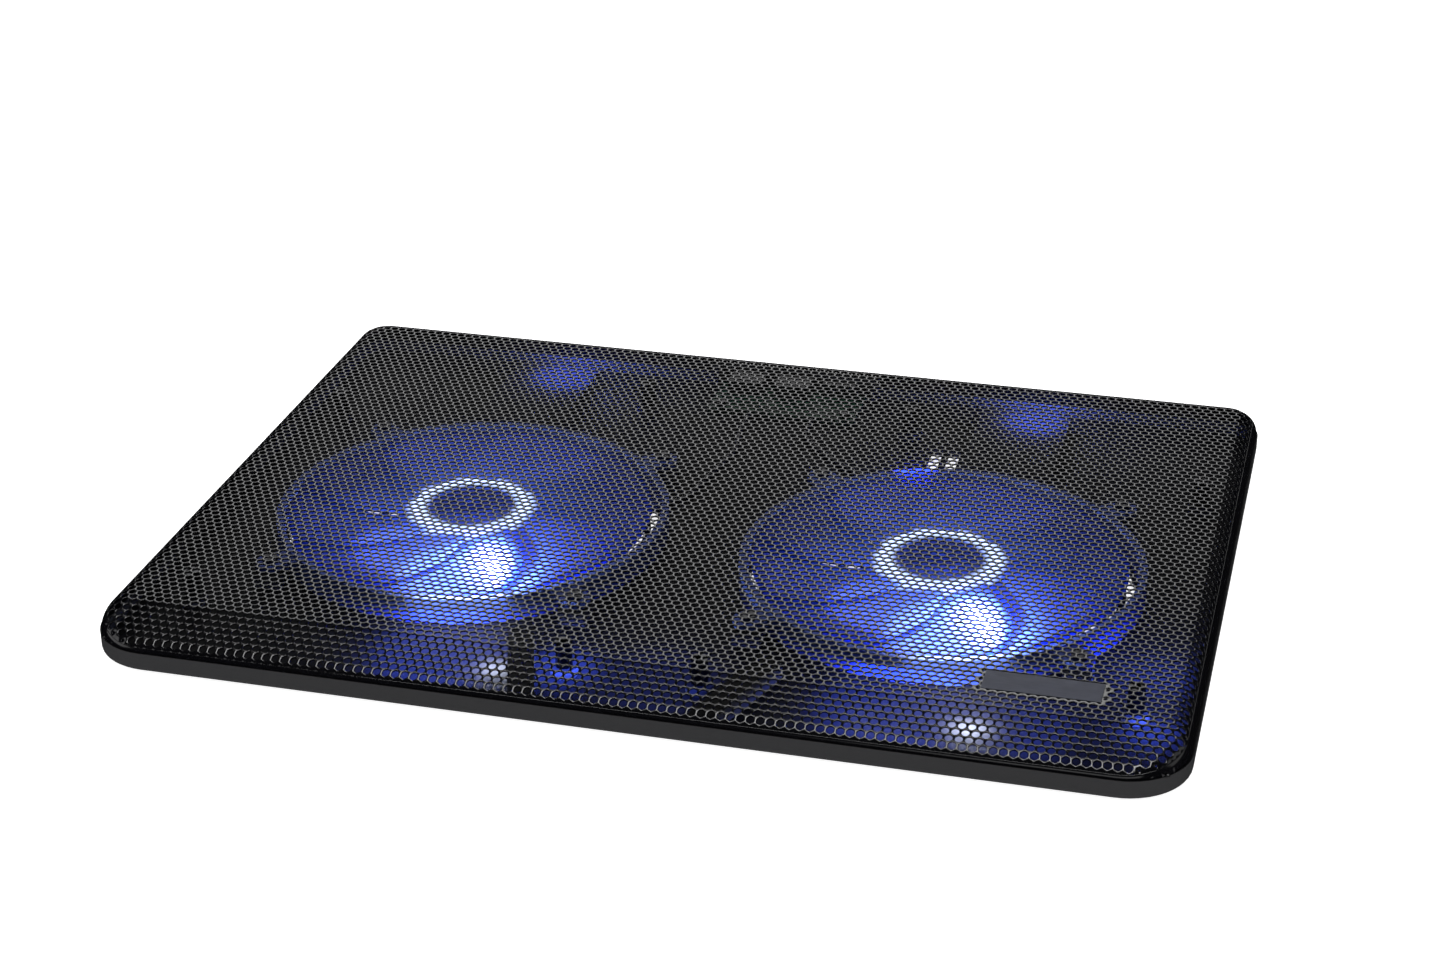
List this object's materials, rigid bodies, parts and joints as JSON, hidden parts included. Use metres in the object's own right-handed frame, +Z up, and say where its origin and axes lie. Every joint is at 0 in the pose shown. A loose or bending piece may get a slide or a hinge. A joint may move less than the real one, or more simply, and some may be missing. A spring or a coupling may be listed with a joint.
{
  "type": "laptop cooling pad",
  "caption": "Slim laptop cooling pad: perforated metal top sloping down at the front, lit fans under it, a shallow plastic tray, flip-out rear feet and a rear switch with sockets.",
  "frame": {"origin": "on the table under the middle of the pad, at the bottom of its rubber feet", "axes": "+X to the user's right along the long side, +Y to the rear edge, +Z up"},
  "size_m": [0.35, 0.256, 0.0172],
  "materials": {
    "tray_plastic": "fine satin moulding grain",
    "panel_steel": "gloss black coat",
    "plate_metal": "dark anodised, fine brushing",
    "screw_steel": "black oxide",
    "rubber": "matt",
    "fan_plastic": "smoky blue, lit by the lamp",
    "rotor_plastic": "translucent blue tint",
    "led_lens": "clear lens, lit",
    "bronze": "sintered",
    "magnet": "ferrite",
    "core_iron": "laminated",
    "copper_wire": "enamelled wire",
    "circuit_board": "solder mask",
    "socket_steel": "black nickel plated",
    "insert_plastic": "satin black",
    "switch_metal": "folded steel, black nickel plated",
    "knob_plastic": "satin",
    "lead_sleeve": "soft sleeve",
    "shaft_steel": "ground"
  },
  "bodies": {
    "pad": {"base_tray": "tray_plastic", "mesh_panel": "panel_steel", "name_plate": "plate_metal", "panel_standoffs": "screw_steel", "case_screws": "screw_steel", "rubber_feet": "rubber", "fan_screws": "screw_steel", "control_board": "circuit_board", "board_screws": "screw_steel", "switch_body": "switch_metal", "fan_frame_left": "fan_plastic", "fan_frame_right": "fan_plastic", "fan_led_left": "led_lens", "fan_led_right": "led_lens", "bearing_sleeve_left": "bronze", "bearing_sleeve_right": "bronze", "stator_core_left": "core_iron", "stator_core_right": "core_iron", "stator_coils_left": "copper_wire", "stator_coils_right": "copper_wire", "fan_board_left": "circuit_board", "fan_board_right": "circuit_board", "fan_lead_left": "lead_sleeve", "fan_lead_right": "lead_sleeve", "usb_socket_left": "socket_steel", "usb_socket_right": "socket_steel", "usb_insert_left": "insert_plastic", "usb_insert_right": "insert_plastic", "hinge_pin_left": "shaft_steel", "hinge_pin_right": "shaft_steel"},
    "fan_left": {"rotor_left": "rotor_plastic", "rotor_magnet_left": "magnet", "rotor_shaft_left": "shaft_steel", "shaft_clip_left": "shaft_steel"},
    "fan_right": {"rotor_right": "rotor_plastic", "rotor_magnet_right": "magnet", "rotor_shaft_right": "shaft_steel", "shaft_clip_right": "shaft_steel"},
    "foot_left": {"flip_foot_left": "tray_plastic", "foot_pad_left": "rubber"},
    "foot_right": {"flip_foot_right": "tray_plastic", "foot_pad_right": "rubber"},
    "switch": {"switch_knob": "knob_plastic"}
  },
  "joints": [
    {"name": "fan_left_spin", "type": "hinge", "parent": "pad", "child": "fan_left", "pos_m": [-0.082, -0.013, 0.0105], "axis": [0, 0, 1], "continuous": true},
    {"name": "fan_right_spin", "type": "hinge", "parent": "pad", "child": "fan_right", "pos_m": [0.082, -0.013, 0.0105], "axis": [0, 0, 1], "continuous": true},
    {"name": "foot_left_flip", "type": "hinge", "parent": "pad", "child": "foot_left", "pos_m": [-0.091, 0.107, 0.0067], "axis": [1, 0, 0], "range_deg": [0, 100]},
    {"name": "foot_right_flip", "type": "hinge", "parent": "pad", "child": "foot_right", "pos_m": [0.091, 0.107, 0.0067], "axis": [1, 0, 0], "range_deg": [0, 100]},
    {"name": "power_switch_slide", "type": "slide", "parent": "pad", "child": "switch", "axis": [1, 0, 0], "range_m": [0, 0.004]}
  ]
}
